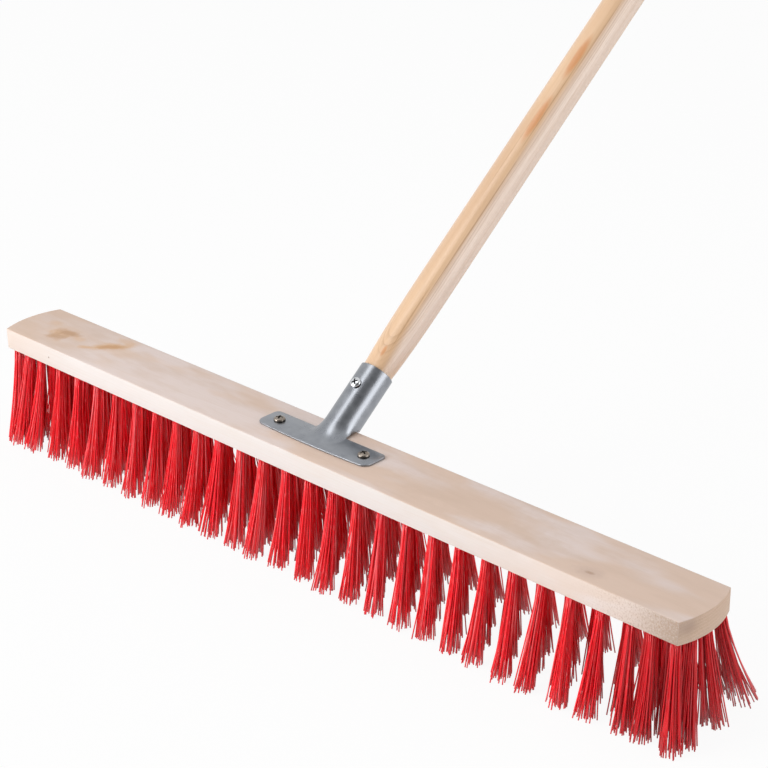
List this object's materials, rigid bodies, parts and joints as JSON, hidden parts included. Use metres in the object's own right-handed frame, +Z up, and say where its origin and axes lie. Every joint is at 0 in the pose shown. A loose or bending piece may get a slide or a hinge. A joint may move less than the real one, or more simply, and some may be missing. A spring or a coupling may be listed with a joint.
{
  "type": "street broom",
  "caption": "Street broom with a flat wooden block, rows of stiff red bristle tufts that lean outwards, a pressed steel socket bracket and a round wooden handle.",
  "frame": {"origin": "middle of the broom's outline seen from above, on the level the bristle tips stand on", "axes": "+X along the block towards the right screw of the plate, +Y from the block's front face towards the handle's free end, +Z up"},
  "size_m": [0.8163, 1.1936, 0.9946],
  "materials": {
    "block_wood": "bare planed hardwood",
    "handle_wood": "smooth turned softwood",
    "zinc_plated_steel": "satin zinc plating",
    "plate_screw_metal": "dull nickel",
    "clamp_screw_metal": "bright zinc",
    "red_bristle": "semi-gloss"
  },
  "bodies": {
    "root": {"block": "block_wood", "bristles_01": "red_bristle", "bristles_02": "red_bristle", "bristles_03": "red_bristle", "bristles_04": "red_bristle", "bristles_05": "red_bristle", "bristles_06": "red_bristle", "bristles_07": "red_bristle", "bristles_08": "red_bristle", "bristles_09": "red_bristle", "bristles_10": "red_bristle", "bristles_11": "red_bristle", "bristles_12": "red_bristle", "bristles_13": "red_bristle", "bristles_14": "red_bristle", "bristles_15": "red_bristle", "bristles_16": "red_bristle", "bristles_17": "red_bristle", "bristles_18": "red_bristle", "bristles_19": "red_bristle", "bristles_20": "red_bristle", "bristles_21": "red_bristle", "bristles_22": "red_bristle", "bristles_23": "red_bristle", "bristles_24": "red_bristle", "bristles_25": "red_bristle", "bristles_26": "red_bristle", "bristles_27": "red_bristle", "bristles_28": "red_bristle", "bristles_29": "red_bristle", "bristles_30": "red_bristle", "bristles_31": "red_bristle", "clamp_screw": "clamp_screw_metal", "handle": "handle_wood", "plate_screw_left": "plate_screw_metal", "plate_screw_right": "plate_screw_metal", "socket_bracket": "zinc_plated_steel"}
  },
  "joints": []
}
